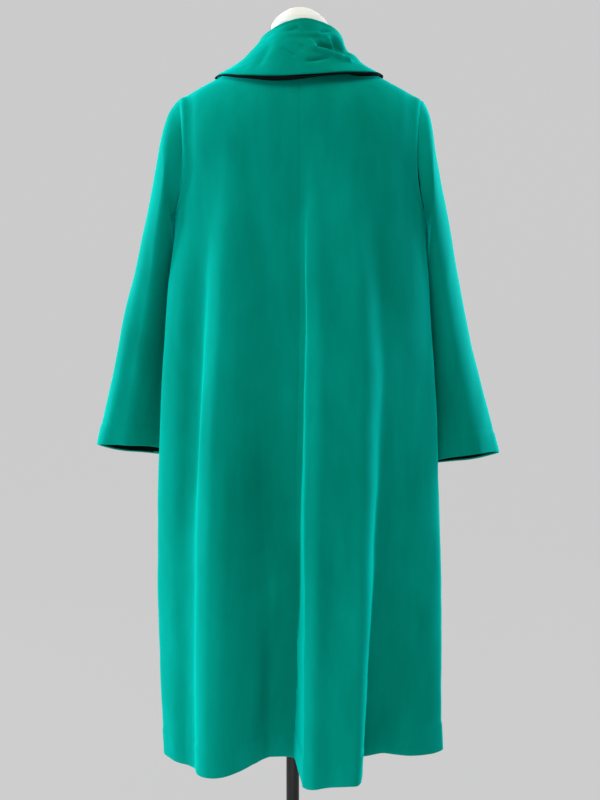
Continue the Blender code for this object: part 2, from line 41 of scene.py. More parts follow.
# Metres and degrees. The wearer's left is +X, the wearer's back is +Y, the pole stands on Z.
# Angles round the body run from the centre back, and are positive to the wearer's left.
coat = {
    "offset": -0.0125,        # how far to the wearer's left of the pole the coat hangs
    "thickness": 0.0022,
    "turnedThickness": 0.0005,    # added to half of it where a hem is turned up
    "gap": 0.00015,           # half the opening at the armhole's seam
    "hem": 0.268,
    "underarm": 1.160,
    "neckPoint": (0.078, 1.421),
    "shoulderPoint": (0.204, 1.356),
    "backNeck": {"depth": 0.060, "drop": 0.008, "halfGap": 0.0, "power": 1.0, "share": 0.35},
    "frontNeck": {"depth": 0.085, "drop": 0.060, "halfGap": 0.009, "power": 2.2, "share": 0.4375},
    "armhole": {"depth": 0.075, "width": 0.200, "lean": 0.45, "lapStart": 95, "lapLength": 70},
    "frontEdge": 3.4,
    "squareness": {"back": 2.5, "front": 2.15},
    "sway": {"reach": 0.007, "start": 1.05, "length": 0.40},
    "turnPower": 0.8,         # how early a fold's line swings aside
    # height, half width, depth to the centre back, depth to the centre front
    "sections": (
        (1.265, 0.2130, 0.126, 0.128),
        (1.160, 0.2075, 0.132, 0.144),
        (1.050, 0.2215, 0.137, 0.148),
        (0.800, 0.2325, 0.146, 0.152),
        (0.500, 0.2400, 0.150, 0.162),
        (0.268, 0.2380, 0.150, 0.170),
    ),
    # angle at the hem, half the flat, left flank, right flank, depth, start, growth, turn
    "folds": (
        (44, 2, 14, 24, 0.030, 1.30, 0.9, 1),
        (9.0, 8.2, 26, 8, -0.080, 1.30, 1.60, -5),
        (-18.9, 10.9, 8, 14, 0.068, 1.30, 1.20, -5),
        (-51, 8.5, 12, 29, -0.068, 1.22, 1.30, -8),
        (-76, 5, 14, 12, 0.024, 1.10, 1.6, 0),
        (80, 6, 16, 16, -0.012, 0.90, 1.6, 0),
        (118, 5, 20, 15, 0.030, 1.15, 1.2, 0),
        (142, 5, 14, 16, -0.040, 1.15, 1.3, 4),
        (161, 4, 13, 14, 0.026, 1.20, 1.2, 3),
        (-121, 5, 15, 20, 0.034, 1.15, 1.2, 0),
        (-145, 6, 17, 15, -0.044, 1.15, 1.3, -3),
        (-164, 4, 14, 13, 0.022, 1.20, 1.2, -3),
    ),
    "armHollow": {"angle": 100, "flat": 6, "flank": 18, "depth": 0.026, "hemShare": 0.4,
                  "onset": 0.10, "fadeStart": 0.35, "fadeLength": 0.50},
}


def soften(value):
    value = np.clip(value, 0, 1)
    return value * value * (3 - 2 * value)


def unit(v):
    return v / np.maximum(np.linalg.norm(v, axis=-1, keepdims=True), 1e-12)


def stack(x, y, z):
    return np.stack(np.broadcast_arrays(x, y, z), axis=-1).astype(float)


# A table's other columns at places along its first, on a smooth curve through its rows
def readTable(rows, at):
    rows = np.array(sorted(rows), float)
    places = rows[:, 0]
    before = np.maximum(np.arange(len(rows)) - 1, 0)
    after = np.minimum(np.arange(len(rows)) + 1, len(rows) - 1)
    slopes = (rows[after] - rows[before]) / (places[after] - places[before])[:, None]
    at = np.clip(np.asarray(at, float), places[0], places[-1])
    k = np.clip(np.searchsorted(places, at, side="right") - 1, 0, len(rows) - 2)
    span = (places[k + 1] - places[k])[..., None]
    f = (at - places[k])[..., None] / span
    found = ((2 * f**3 - 3 * f**2 + 1) * rows[k] + (f**3 - 2 * f**2 + f) * span * slopes[k]
             + (3 * f**2 - 2 * f**3) * rows[k + 1] + (f**3 - f**2) * span * slopes[k + 1])
    return np.moveaxis(found, -1, 0)[1:]


def crest(offset, flat, left, right):
    return soften(1 - np.maximum(0, np.abs(offset) - flat) / np.where(offset > 0, left, right))


# How far the large hanging folds move the cloth out
def foldDepth(angle, z):
    total = np.zeros(np.broadcast(angle, z).shape)
    for at, flat, left, right, depth, start, growth, turn in coat["folds"]:
        drop = np.maximum(0, (start - z) / (start - coat["hem"]))
        swing = turn * np.sin(np.pi * np.minimum(1, drop) ** coat["turnPower"])
        total += depth * drop**growth * crest(angle - at - swing, flat, left, right)
    hollow = coat["armHollow"]
    below = np.maximum(0, coat["underarm"] - z)
    fade = 1 - (1 - hollow["hemShare"]) * soften((below - hollow["fadeStart"]) / hollow["fadeLength"])
    shape = crest(np.abs(angle) - hollow["angle"], hollow["flat"], hollow["flank"], hollow["flank"])
    return total - hollow["depth"] * soften(below / hollow["onset"]) * fade * shape


# The body's round form at an angle and a height, with its folds and its sway to one side
def ringPoint(side, angle, z):
    width, backDepth, frontDepth = readTable(coat["sections"], z)
    a = np.radians(angle)
    back = np.cos(a) > 0
    depth = np.where(back, backDepth, frontDepth)
    n = np.where(back, coat["squareness"]["back"], coat["squareness"]["front"])
    radius = (np.abs(np.sin(a) / width) ** n + np.abs(np.cos(a) / depth) ** n) ** (-1 / n)
    x, y = radius * np.sin(a), radius * np.cos(a)
    nx = (x / width) ** (n - 1) / width
    ny = np.copysign((np.abs(y) / depth) ** (n - 1) / depth, y)
    size = np.hypot(nx, ny)
    out = foldDepth(side * angle, z)
    sway = coat["sway"]
    swing = sway["reach"] * soften((sway["start"] - z) / sway["length"])
    return side * (x + out * nx / size) + swing, y + out * ny / size


# The neckline, then the shoulder seam
def topPoint(side, part, across):
    neck, way = (coat["backNeck"], 1) if part == "back" else (coat["frontNeck"], -1)
    (neckX, neckZ), (endX, endZ) = coat["neckPoint"], coat["shoulderPoint"]
    turn = np.radians(90 * np.clip(across / neck["share"], 0, 1))
    f = np.clip((across - neck["share"]) / (1 - neck["share"]), 0, 1)
    onNeck = across < neck["share"]
    x = np.where(onNeck, neck["halfGap"] + (neckX - neck["halfGap"]) * np.sin(turn),
                 neckX + f * (endX - neckX))
    y = np.where(onNeck, way * neck["depth"] * np.cos(turn), 0)
    z = np.where(onNeck, neckZ - neck["drop"] * np.maximum(np.cos(turn), 0) ** neck["power"],
                 neckZ + f * (endZ - neckZ))
    return side * x, y, z


# A panel's own angle, which runs in to the armhole's edge above the underarm
def panelAngle(part, across, r):
    hole = coat["armhole"]
    phi = np.pi * np.clip(r, 0.5, 1)
    edge = np.degrees(np.arctan2(hole["width"], hole["depth"] * np.sin(phi)))
    start = 0 if part == "back" else coat["frontEdge"]
    angle = start + (90 - start) * across - (90 - edge) * across**3
    return angle if part == "back" else 180 - angle


# across is 0 at the centre back or the front edge and 1 at the side seam;
# r is 0 at the neck and shoulder, 1 at the underarm and 2 at the hem
def bodyPoint(side, part, across, r):
    angle = panelAngle(part, across, r)
    topX, topY, topZ = topPoint(side, part, across)
    phi = np.pi * np.clip(r, 0, 1)
    middle = (topZ + coat["underarm"]) / 2
    z = np.where(r > 1, coat["underarm"] + (r - 1) * (coat["hem"] - coat["underarm"]),
                 middle + (topZ - middle) * np.cos(phi))
    x, y = ringPoint(side, angle, z)
    reach = np.where(r < 0.5, np.sin(phi), 1)
    return stack(topX + (x - topX) * reach, topY + (y - topY) * reach, z), side * angle


# The armhole's seam: which way the body's and the sleeve's cloth are thick there
def armholeWays(side, phi):
    hole = coat["armhole"]
    butt = unit(stack(side * hole["lean"] * (1 + np.cos(phi)) / 2, np.sin(phi), np.cos(phi)))
    turned = np.degrees(np.arccos(np.clip(np.cos(phi), -1, 1)))
    lap = soften((turned - hole["lapStart"]) / hole["lapLength"])[..., None]
    out = np.array([side, 0.0, 0.0])
    return unit((1 - lap) * butt + lap * out), unit((1 - lap) * butt - lap * out)


# Slopes of a grid of points both ways give its normals
def gridNormals(points, flip, closed=False):
    down = np.gradient(points, axis=0)
    if closed:
        around = np.roll(points, -1, axis=1) - np.roll(points, 1, axis=1)
    else:
        around = np.gradient(points, axis=1)
    return unit(np.cross(down, around)) * flip


def arcAlong(points, axis):
    steps = np.linalg.norm(np.diff(points, axis=axis), axis=-1)
    start = np.zeros_like(np.take(steps, [0], axis=axis))
    return np.concatenate([start, np.cumsum(steps, axis=axis)], axis=axis)


# A soft uneven swell between about -1 and 1, from plane waves at set seeds
def swell(points, size, seed):
    rng = np.random.default_rng(seed)
    total = np.zeros(points.shape[:-1])
    for _ in range(9):
        way = rng.normal(size=3)
        way *= 2 * np.pi / size * rng.uniform(0.6, 1.5) / np.linalg.norm(way)
        total += np.sin(points @ way + rng.uniform(0, 2 * np.pi))
    return total / 4.5


# A swell from a table's height, size and seed, with a share of it at each point
def swelling(points, row, share=1, seedShift=0):
    height, size, seed = row
    return share * height * swell(points, size, seed + seedShift)


# Steps from 0 to 1 that crowd at both ends, for rounded edges and seams
def crowded(count, near, nearEnd=None):
    ends = np.array(near if nearEnd is None else nearEnd, float)
    steps = np.linspace(0, 1, count + 1)
    return np.unique(np.round(np.concatenate([steps, near, 1 - ends]), 6))


# Half the cloth's thickness, rounding off towards a free edge
def roundEdge(distance, half):
    reach = np.clip(distance / half, 0, 1)
    return half * np.sqrt(np.clip(1 - (1 - reach) ** 2, 0.02, 1))


# One thin shell of cloth: outer face, inner face, and rims. Inner faces nearer an edge than
# the roll are the outer cloth, turned in; the other inner faces take the near-black inner material,
# which is partly a dark cloth and partly painted shade. The last rows can show that near-black outside
# as well.
def clothShell(name, middle, normal, half, materials, backingAndShade, closed=False, paintedShadowRows=0):
    rows, columns = half.shape
    outer = middle + normal * half[..., None]
    inner = middle - normal * half[..., None]
    points = np.concatenate([outer.reshape(-1, 3), inner.reshape(-1, 3)])
    points[:, 0] += coat["offset"]
    grid = np.arange(rows * columns).reshape(rows, columns)
    if closed:
        grid = np.concatenate([grid, grid[:, :1]], axis=1)
        backingAndShade = np.concatenate([backingAndShade, backingAndShade[:, :1]], axis=1)
    a, b, c, d = grid[:-1, :-1], grid[:-1, 1:], grid[1:, 1:], grid[1:, :-1]
    shift = rows * columns
    front = np.stack([a, b, c, d], axis=-1).reshape(-1, 4)
    back = front[:, ::-1] + shift
    rims = [np.stack([line[1:], line[:-1], line[:-1] + shift, line[1:] + shift], axis=-1)
            for line in ([grid[0], grid[-1, ::-1]] if closed else
                         [grid[0], grid[-1, ::-1], grid[::-1, 0], grid[:, -1]])]
    faces = np.concatenate([front, back, *rims])
    # turn the whole shell round if it came out inside out
    p, q, r, s = (points[faces[:, i]] for i in range(4))
    if (np.einsum("ij,ij->i", p, np.cross(q, r)) + np.einsum("ij,ij->i", p, np.cross(r, s))).sum() < 0:
        faces = faces[:, ::-1]
    inside = (backingAndShade[:-1, :-1].reshape(-1) > 0.5).astype(int)
    outside = np.zeros(grid[:-1, :-1].shape, int)
    outside[outside.shape[0] - paintedShadowRows:] = 1
    edges = [np.full(len(rim), int(paintedShadowRows > 0 and i == 1)) for i, rim in enumerate(rims)]
    index = np.concatenate([outside.reshape(-1), inside, *edges])
    mesh = bpy.data.meshes.new(name)
    mesh.from_pydata(points.tolist(), [], faces.tolist())
    mesh.polygons.foreach_set("material_index", index.astype(np.int32))
    mesh.shade_smooth()
    for material in materials:
        mesh.materials.append(material)
    piece = bpy.data.objects.new(name, mesh)
    bpy.context.scene.collection.objects.link(piece)
    return piece


def newGroup(name, inputs, outputs):
    group = bpy.data.node_groups.new(name, "ShaderNodeTree")
    for label, kind, value in inputs:
        socket = group.interface.new_socket(name=label, in_out="INPUT", socket_type=kind)
        if value is not None:
            socket.default_value = value
    for label, kind in outputs:
        group.interface.new_socket(name=label, in_out="OUTPUT", socket_type=kind)
    start = group.nodes.new("NodeGroupInput")
    end = group.nodes.new("NodeGroupOutput")
    return group, start, end


def addNode(tree, kind, **values):
    node = tree.nodes.new(kind)
    for key, value in values.items():
        if hasattr(node, key):
            setattr(node, key, value)
        else:
            node.inputs[key].default_value = value
    return node


def mathNode(tree, operation, first, second=None):
    node = addNode(tree, "ShaderNodeMath", operation=operation)
    for socket, value in zip(node.inputs, (first, second)):
        if value is None:
            continue
        if isinstance(value, (int, float)):
            socket.default_value = value
        else:
            tree.links.new(value, socket)
    return node.outputs[0]


def stretched(tree, vector, scale):
    node = addNode(tree, "ShaderNodeMapping")
    node.inputs["Scale"].default_value = scale
    tree.links.new(vector, node.inputs["Vector"])
    return node.outputs["Vector"]


# How the pile lies: broad brushed patches, lengthwise streaks, and the tips of the pile
def buildNapGroup():
    group, start, end = newGroup(
        "napField",
        [("Vector", "NodeSocketVector", None), ("Patch Scale", "NodeSocketFloat", 7.0),
         ("Streak Scale", "NodeSocketFloat", 26.0), ("Tip Scale", "NodeSocketFloat", 1400.0)],
        [("Lie", "NodeSocketFloat"), ("Tips", "NodeSocketFloat"), ("Height", "NodeSocketFloat")])
    tree = group
    patches = addNode(tree, "ShaderNodeTexNoise", Detail=3.0, Roughness=0.55, Distortion=0.4)
    tree.links.new(stretched(tree, start.outputs["Vector"], (1.0, 1.0, 0.5)), patches.inputs["Vector"])
    tree.links.new(start.outputs["Patch Scale"], patches.inputs["Scale"])
    streaks = addNode(tree, "ShaderNodeTexNoise", Detail=4.0, Roughness=0.6, Distortion=0.2)
    tree.links.new(stretched(tree, start.outputs["Vector"], (1.0, 1.0, 0.16)), streaks.inputs["Vector"])
    tree.links.new(start.outputs["Streak Scale"], streaks.inputs["Scale"])
    tips = addNode(tree, "ShaderNodeTexNoise", Detail=2.0, Roughness=0.7)
    tree.links.new(start.outputs["Vector"], tips.inputs["Vector"])
    tree.links.new(start.outputs["Tip Scale"], tips.inputs["Scale"])
    lie = mathNode(tree, "MULTIPLY", patches.outputs["Fac"], 0.62)
    lie = mathNode(tree, "ADD", lie, mathNode(tree, "MULTIPLY", streaks.outputs["Fac"], 0.38))
    height = mathNode(tree, "ADD", mathNode(tree, "MULTIPLY", tips.outputs["Fac"], 0.5),
                      mathNode(tree, "MULTIPLY", streaks.outputs["Fac"], 0.5))
    tree.links.new(lie, end.inputs["Lie"])
    tree.links.new(tips.outputs["Fac"], end.inputs["Tips"])
    tree.links.new(height, end.inputs["Height"])
    return group


# Crossing threads of a plain cloth
def buildThreadGroup():
    group, start, end = newGroup(
        "threadGrid",
        [("Vector", "NodeSocketVector", None), ("Threads per Metre", "NodeSocketFloat", 1500.0)],
        [("Threads", "NodeSocketFloat")])
    tree = group
    waves = []
    for direction in ("DIAGONAL", "Z"):
        wave = addNode(tree, "ShaderNodeTexWave", wave_type="BANDS", bands_direction=direction)
        wave.inputs["Distortion"].default_value = 0.6
        wave.inputs["Detail"].default_value = 1.0
        tree.links.new(start.outputs["Vector"], wave.inputs["Vector"])
        tree.links.new(mathNode(tree, "MULTIPLY", start.outputs["Threads per Metre"], 0.31),
                       wave.inputs["Scale"])
        waves.append(wave.outputs["Fac"])
    tree.links.new(mathNode(tree, "MAXIMUM", waves[0], waves[1]), end.inputs["Threads"])
    return group


def newMaterial(name):
    material = bpy.data.materials.new(name)
    material.use_nodes = True
    tree = material.node_tree
    place = addNode(tree, "ShaderNodeTexCoord")
    return material, tree, tree.nodes["Principled BSDF"], place.outputs["Object"]


def useGroup(tree, group, vector, **values):
    node = addNode(tree, "ShaderNodeGroup", node_tree=group)
    tree.links.new(vector, node.inputs["Vector"])
    for label, value in values.items():
        node.inputs[label.replace("_", " ")].default_value = value
    return node


def useNap(tree, napGroup, place, scales):
    patches, streaks, tips = scales
    return useGroup(tree, napGroup, place, Patch_Scale=patches, Streak_Scale=streaks, Tip_Scale=tips)


def colourRamp(tree, value, stops):
    ramp = addNode(tree, "ShaderNodeValToRGB")
    while len(ramp.color_ramp.elements) < len(stops):
        ramp.color_ramp.elements.new(0.5)
    for element, (place, colour) in zip(ramp.color_ramp.elements, stops):
        element.position = place
        element.color = (*colour, 1)
    tree.links.new(value, ramp.inputs["Fac"])
    return ramp.outputs["Color"]


def bumped(tree, shader, height, relief):
    strength, distance = relief
    bump = addNode(tree, "ShaderNodeBump")
    bump.inputs["Strength"].default_value = strength
    bump.inputs["Distance"].default_value = distance
    tree.links.new(height, bump.inputs["Height"])
    tree.links.new(bump.outputs["Normal"], shader.inputs["Normal"])


# nap is the scale of the patches, the streaks and the tips; relief is a bump's strength and depth
velvet = {
    "deep": (0.0002, 0.228, 0.163),
    "mid": (0.0003, 0.300, 0.226),
    "light": (0.0005, 0.372, 0.290),
    "sheen": 1.0,
    "sheenRoughness": 0.40,
    "sheenTint": (0.0, 0.95, 0.84),
    "roughness": 0.85,
    "shine": 0.01,
    "places": (0.30, 0.50, 0.72),    # where the three colours stand in the pile's lie
    "tipShare": 0.22,         # how much the pile's tips vary its colour
    "nap": (7.0, 26.0, 1400.0),
    "relief": (0.25, 0.0006),
}


def makeVelvet(napGroup):
    material, tree, shader, place = newMaterial("emeraldVelvet")
    nap = useNap(tree, napGroup, place, velvet["nap"])
    tips = mathNode(tree, "SUBTRACT", nap.outputs["Tips"], 0.5)
    lie = mathNode(tree, "ADD", nap.outputs["Lie"],
                   mathNode(tree, "MULTIPLY", tips, velvet["tipShare"]))
    shades = (velvet["deep"], velvet["mid"], velvet["light"])
    colour = colourRamp(tree, lie, list(zip(velvet["places"], shades)))
    tree.links.new(colour, shader.inputs["Base Color"])
    shader.inputs["Roughness"].default_value = velvet["roughness"]
    shader.inputs["Specular IOR Level"].default_value = velvet["shine"]
    shader.inputs["Specular Tint"].default_value = (*velvet["sheenTint"], 1)
    shader.inputs["Sheen Weight"].default_value = velvet["sheen"]
    shader.inputs["Sheen Roughness"].default_value = velvet["sheenRoughness"]
    shader.inputs["Sheen Tint"].default_value = (*velvet["sheenTint"], 1)
    bumped(tree, shader, nap.outputs["Height"], velvet["relief"])
    return material


# the inner faces' dark cloth, made near black so that it is also painted shade inside the cuffs and
# under the collar
backingAndShade = {
    "dark": (0.0010, 0.0030, 0.0026),
    "light": (0.0025, 0.0070, 0.0060),
    "roughness": 0.8,
    "shine": 0.03,
    "threads": 2200.0,
    "relief": (0.2, 0.0003),
}


# near-black inner material with a thread texture; its darkness is partly the cloth's own and partly
# painted shade
def makeBackingWithPaintedShade(threadGroup):
    material, tree, shader, place = newMaterial("backingWithPaintedShade")
    threads = useGroup(tree, threadGroup, place, Threads_per_Metre=backingAndShade["threads"])
    colour = colourRamp(tree, threads.outputs["Threads"],
                        [(0.2, backingAndShade["dark"]), (0.9, backingAndShade["light"])])
    tree.links.new(colour, shader.inputs["Base Color"])
    shader.inputs["Roughness"].default_value = backingAndShade["roughness"]
    shader.inputs["Specular IOR Level"].default_value = backingAndShade["shine"]
    bumped(tree, shader, threads.outputs["Threads"], backingAndShade["relief"])
    return material


jersey = {
    "low": (0.80, 0.79, 0.74),
    "high": (0.93, 0.925, 0.90),
    "roughness": 0.8,
    "threads": 1100.0,
    "threadShare": 0.35,
    "sheen": 0.2,
    "nap": (9.0, 40.0, 900.0),
    "relief": (0.25, 0.0003),
}


def makeJersey(threadGroup, napGroup):
    material, tree, shader, place = newMaterial("whiteJersey")
    threads = useGroup(tree, threadGroup, place, Threads_per_Metre=jersey["threads"])
    nap = useNap(tree, napGroup, place, jersey["nap"])
    share = jersey["threadShare"]
    tone = mathNode(tree, "ADD", mathNode(tree, "MULTIPLY", threads.outputs["Threads"], share),
                    mathNode(tree, "MULTIPLY", nap.outputs["Lie"], 1 - share))
    tree.links.new(colourRamp(tree, tone, [(0.3, jersey["low"]), (0.6, jersey["high"])]),
                   shader.inputs["Base Color"])
    shader.inputs["Roughness"].default_value = jersey["roughness"]
    shader.inputs["Sheen Weight"].default_value = jersey["sheen"]
    bumped(tree, shader, threads.outputs["Threads"], jersey["relief"])
    return material


blackMetal = {
    "paint": (0.010, 0.0095, 0.009),
    "worn": (0.045, 0.042, 0.040),
    "roughness": (0.32, 0.55),
    "metallic": 0.35,
    "nap": (22.0, 60.0, 2500.0),
    "relief": (0.12, 0.0002),
}


def makeMetal(napGroup):
    material, tree, shader, place = newMaterial("blackMetal")
    nap = useNap(tree, napGroup, place, blackMetal["nap"])
    colour = colourRamp(tree, nap.outputs["Lie"],
                        [(0.45, blackMetal["paint"]), (0.8, blackMetal["worn"])])
    tree.links.new(colour, shader.inputs["Base Color"])
    low, high = blackMetal["roughness"]
    rough = mathNode(tree, "ADD", low, mathNode(tree, "MULTIPLY", nap.outputs["Lie"], high - low))
    tree.links.new(rough, shader.inputs["Roughness"])
    shader.inputs["Metallic"].default_value = blackMetal["metallic"]
    bumped(tree, shader, nap.outputs["Tips"], blackMetal["relief"])
    return material


napGroup = buildNapGroup()
threadGroup = buildThreadGroup()
coatVelvet = makeVelvet(napGroup)
backingWithPaintedShade = makeBackingWithPaintedShade(threadGroup)
whiteJersey = makeJersey(threadGroup, napGroup)
blackPaint = makeMetal(napGroup)
print("materials made")

# Creases that the large folds don't give. Angle at the top, half way and at the foot, the
# heights of top and foot, widths to the left and right, how far out, and how fast both ends fade
creaseColumns = ("angle", "middle", "end", "top", "foot", "left", "right", "out", "rise", "fall")
bodyPanels = {
    "columns": {"back": 88, "front": 66},
    "armholeRows": 90,
    "skirtRows": 150,
    "creases": (
        (43, 43, 43.5, 1.330, 0.240, 0.016, 0.030, 0.0112, 0.40, 0.001),
        (55, 54.5, 53.5, 1.300, 0.240, 0.028, 0.014, -0.0090, 0.30, 0.001),
        (57, 56.5, 56, 1.150, 0.580, 0.030, 0.012, -0.0100, 0.28, 0.25),
        (74, 74, 74, 1.200, 0.240, 0.020, 0.024, 0.0030, 0.30, 0.001),
        (92, 92, 92, 0.950, 0.240, 0.040, 0.040, -0.0065, 0.20, 0.001),
        (-88, -88, -88, 1.060, 0.250, 0.050, 0.050, 0.0215, 0.28, 0.45),
        (-8, -14, -9.4, 1.330, 0.240, 0.012, 0.022, 0.0140, 0.30, 0.001),
        (4, -2, 4, 1.300, 0.240, 0.024, 0.012, -0.0030, 0.30, 0.001),
        (-22, -27, -52, 1.290, 0.800, 0.018, 0.034, 0.0018, 0.14, 0.12),
        (-56, -58, -56, 1.000, 0.240, 0.030, 0.030, -0.0040, 0.30, 0.001),
        (113, 118, 114, 1.130, 0.240, 0.018, 0.024, 0.0045, 0.30, 0.001),
        (137, 131, 138, 1.220, 0.240, 0.020, 0.016, -0.0045, 0.35, 0.001),
        (160, 163, 160, 1.260, 0.420, 0.013, 0.020, 0.0040, 0.28, 0.140),
        (-124, -129, -123, 1.180, 0.240, 0.020, 0.015, 0.0048, 0.32, 0.001),
        (-149, -144, -150, 1.210, 0.300, 0.016, 0.022, -0.0042, 0.26, 0.100),
        (-165, -167, -164, 1.270, 0.240, 0.012, 0.018, 0.0034, 0.30, 0.001),
    ),
    # width and length of the cloth each is cut from, and its own area
    "cuts": {"backLeft": (0.42, 1.25, 0.372), "backRight": (0.56, 1.25, 0.415),
             "frontLeft": (0.43, 1.25, 0.349), "frontRight": (0.43, 1.25, 0.350)},
    # beside the armhole: how far in, width, how far out
    "armRidges": ((0.009, 0.0050, 0.0022), (0.024, 0.0090, -0.0020)),
    "rightRidgeShare": 0.6,
    "ridgeRise": 0.1,         # from the shoulder, as a share of the armhole
    "ridgeEnd": 0.95,
    "ridgeFade": 0.35,
    # how much of the width turns to the armhole's own thickness direction
    "armBlend": {"back": 1 / 20, "front": 1 / 16},
    "hemDepth": 0.050,
    "hemStep": 0.008,
    "hemGroove": 0.0006,
    "grooveWidth": 0.003,
    "hemPucker": 0.0006,
    "puckerBand": (0.020, 0.035),    # middle and width, up from the hem
    "hemRise": 0.0006,        # how far the turned-up hem stands out
    "seamRoll": 0.0011,
    "seamWidth": 0.0022,
    "swell": (0.0010, 0.20, 11),
    "smallSwell": (0.00025, 0.055, 12),
    "calmDepth": 0.05,        # no swell at the top seams, all of it this far below
    "edgeRoll": 0.004,
}


def creaseDepth(creases, angle, z, radius):
    total = np.zeros(angle.shape)
    for row in creases:
        c = dict(zip(creaseColumns, row))
        f = np.clip((c["top"] - z) / (c["top"] - c["foot"]), 0, 1)
        line = (1 - f) ** 2 * c["angle"] + 2 * f * (1 - f) * c["middle"] + f**2 * c["end"]
        offset = np.radians(angle - line) * radius
        shape = np.exp(-(offset / np.where(offset > 0, c["left"], c["right"])) ** 2)
        total += (c["out"] * shape * soften((c["top"] - z) / c["rise"])
                  * soften((z - c["foot"]) / c["fall"]))
    return total


def makePanel(side, part):
    word = "left" if side > 0 else "right"
    columns = crowded(bodyPanels["columns"][part], (0.0005, 0.002, 0.005, 0.010, 0.017))
    # the outermost columns stay short of the seams, which is the gap there
    columns = columns[(columns > 0.0004) & (columns < 0.9996)]
    upper = crowded(bodyPanels["armholeRows"], (0.0006, 0.002, 0.005), ())
    upper = np.where(upper > 0.5, np.arccos(1 - 2 * upper) / np.pi, upper)
    lower = 2 - crowded(bodyPanels["skirtRows"], (0.0006, 0.0014, 0.0024, 0.006), ())[::-1]
    rows = np.concatenate([upper[upper > 0.0005], lower[1:]])
    r, across = np.meshgrid(rows, columns, indexing="ij")
    base, angle = bodyPoint(side, part, across, r)
    flip = 1 if (side > 0) == (part == "back") else -1
    normal = gridNormals(base, flip)
    if (normal[..., :2] * base[..., :2]).sum(-1).mean() < 0:
        normal = -normal
        flip = -flip
    z = base[..., 2]
    radius = np.hypot(base[..., 0], base[..., 1])
    sideways = arcAlong(base, 1)
    toStart, toSide = sideways, sideways[:, -1:] - sideways
    down = arcAlong(base, 0)
    toTop, toHem = down, down[-1:] - down
    seam = bodyPanels["seamRoll"]
    rolls = -seam * np.exp(-toSide / bodyPanels["seamWidth"])
    if part == "back":
        rolls = rolls - seam * np.exp(-toStart / bodyPanels["seamWidth"])
    rolls = rolls - seam * np.exp(-toTop / bodyPanels["seamWidth"])
    turnUp = soften((bodyPanels["hemDepth"] - toHem) / bodyPanels["hemStep"])
    bandMiddle, bandWidth = bodyPanels["puckerBand"]
    nearHem = np.exp(-((toHem - bandMiddle) / bandWidth) ** 2)
    pucker = nearHem * swell(base * np.array([1.0, 1.0, 0.12]), 0.022, 5)
    fromHem = (toHem - bodyPanels["hemDepth"]) / bodyPanels["grooveWidth"]
    groove = -bodyPanels["hemGroove"] * np.exp(-fromHem ** 2)
    calm = soften(toTop / bodyPanels["calmDepth"])
    beside = sum(height * np.exp(-((toSide - inward) / width) ** 2)
                 for inward, width, height in bodyPanels["armRidges"])
    strength = 1.0 if side > 0 else bodyPanels["rightRidgeShare"]
    fade = soften((bodyPanels["ridgeEnd"] - r) / bodyPanels["ridgeFade"])
    beside = beside * soften(r / bodyPanels["ridgeRise"]) * fade * strength
    out = (beside + creaseDepth(bodyPanels["creases"], angle, z, radius)
           + swelling(base, bodyPanels["swell"], calm)
           + swelling(base, bodyPanels["smallSwell"], calm)
           + rolls + groove + bodyPanels["hemRise"] * turnUp + bodyPanels["hemPucker"] * pucker)
    middle = base + normal * out[..., None]
    thick = gridNormals(middle, flip)
    armWay = armholeWays(side, np.pi * np.clip(r, 0, 1) * (1 if part == "back" else -1))[0]
    step = bodyPanels["armBlend"][part]
    hold = (np.clip((across - 1 + step) / step, 0, 1) * (r <= 1))[..., None]
    thick = unit((1 - hold) * thick + hold * armWay)
    half = np.full(z.shape, coat["thickness"] / 2) + coat["turnedThickness"] * turnUp
    half = np.minimum(half, roundEdge(toHem, half.max()))
    if part == "front":
        half = np.minimum(half, roundEdge(toStart, half.max()))
    free = np.minimum(toHem, toStart if part == "front" else 1.0)
    # inner faces away from the hem and front edges take the near-black inner material, painted shade
    # inside the coat
    piece = clothShell(part + "Panel" + word.capitalize(), middle, thick, half,
                       (coatVelvet, backingWithPaintedShade), free > bodyPanels["edgeRoll"])
    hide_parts(part + "_" + word)
    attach(piece, "root")


for part in ("back", "front"):
    for side in (1, -1):
        makePanel(side, part)
print("back and front panels sewn")

